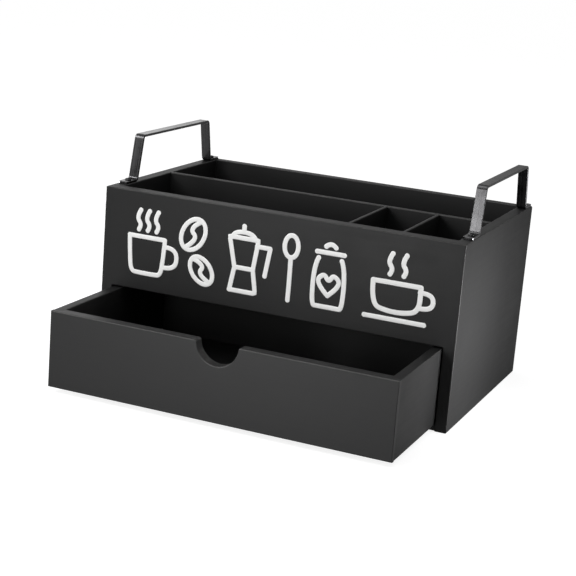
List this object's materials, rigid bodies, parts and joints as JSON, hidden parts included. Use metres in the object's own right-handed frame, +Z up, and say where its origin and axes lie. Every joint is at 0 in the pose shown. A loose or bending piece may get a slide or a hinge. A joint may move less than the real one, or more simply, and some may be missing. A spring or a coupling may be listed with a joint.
{
  "type": "coffee station organizer",
  "caption": "Painted wooden organizer: a divided open tray above a pull-out drawer with a finger notch, and a bent flat bar handle on top of each side wall.",
  "frame": {"origin": "middle of the base, on the surface that the organizer stands on", "axes": "+X along the width, to the right of someone facing the drawer; -Y towards that person, the way the drawer pulls out; +Z up"},
  "size_m": [0.38, 0.358, 0.2315],
  "materials": {
    "black_paint": "wood or fibreboard under satin black paint",
    "handle_metal": "flat steel bar, brushed and blackened",
    "screw_metal": "blackened steel",
    "white_paint": "thin white paint brushed over the black, for the drawing on the front",
    "brad_steel": "plain steel wire"
  },
  "bodies": {
    "carcass": {"right_side": "black_paint", "left_side": "black_paint", "front_panel": "black_paint", "back_panel": "black_paint", "tray_floor": "black_paint", "base_panel": "black_paint", "long_divider": "black_paint", "inner_short_divider": "black_paint", "outer_short_divider": "black_paint", "carcass_brads": "brad_steel", "right_handle": "handle_metal", "left_handle": "handle_metal", "handle_screws": "screw_metal"},
    "drawer": {"drawer_front": "black_paint", "drawer_right_side": "black_paint", "drawer_left_side": "black_paint", "drawer_back": "black_paint", "drawer_bottom": "black_paint", "drawer_brads": "brad_steel"}
  },
  "joints": [
    {"name": "drawer_slide", "type": "slide", "parent": "carcass", "child": "drawer", "axis": [0, -1, 0], "range_m": [-0.118, 0.07]}
  ]
}
